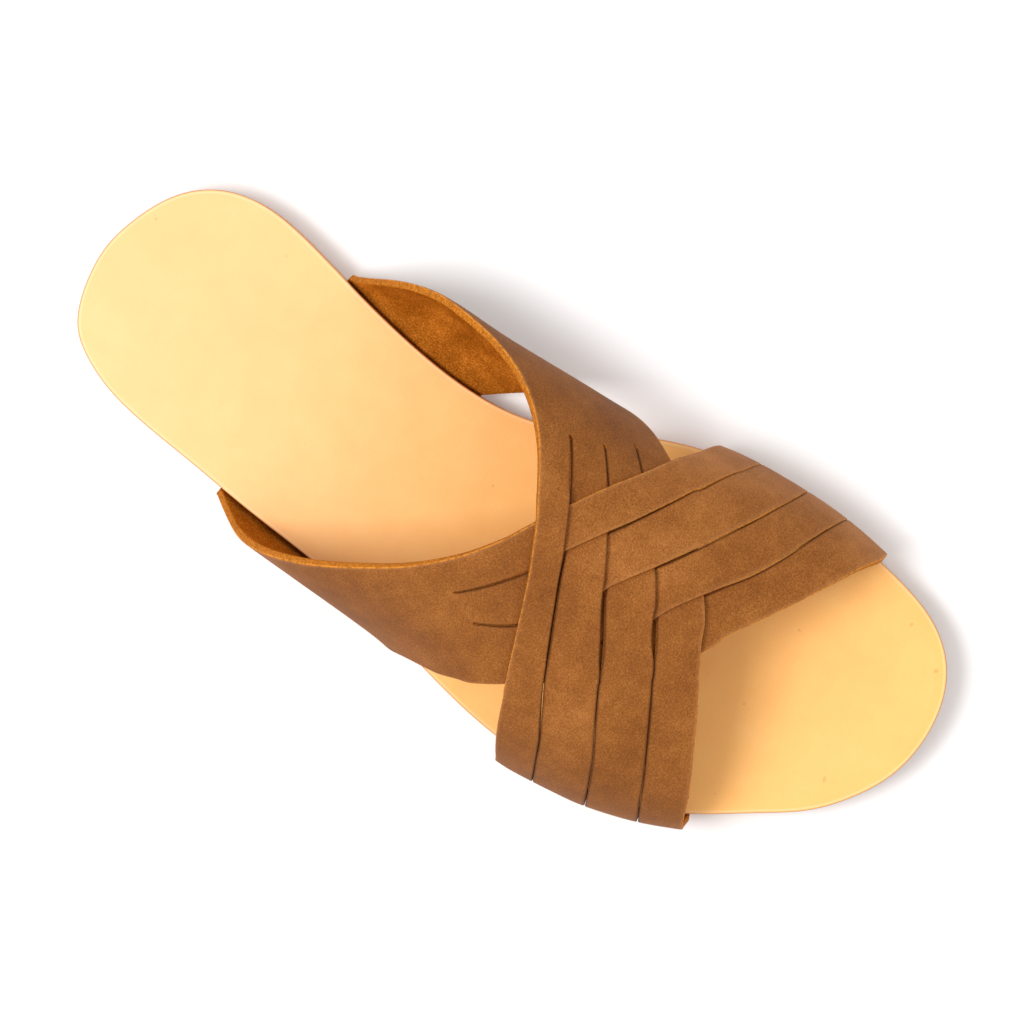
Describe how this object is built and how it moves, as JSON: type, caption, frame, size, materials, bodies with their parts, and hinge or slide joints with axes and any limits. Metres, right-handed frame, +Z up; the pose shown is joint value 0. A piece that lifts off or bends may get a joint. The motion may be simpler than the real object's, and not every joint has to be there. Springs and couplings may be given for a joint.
{
  "type": "cross strap sandal",
  "caption": "Slip-on leather sandal with two slit panels whose strips interlace over the instep, on a flat sole.",
  "frame": {"origin": "on the floor under the middle of the shoe's length and width, straps counted", "axes": "+Y from heel to toe, +X to the wearer's right (outside of this right foot), +Z up"},
  "size_m": [0.1044, 0.258, 0.0728],
  "materials": {
    "outsole_leather": "matte",
    "insole_leather": "satin",
    "strap_leather": "matte"
  },
  "bodies": {
    "root": {"outsole": "outsole_leather", "insole": "insole_leather", "upper": "strap_leather"}
  },
  "joints": []
}
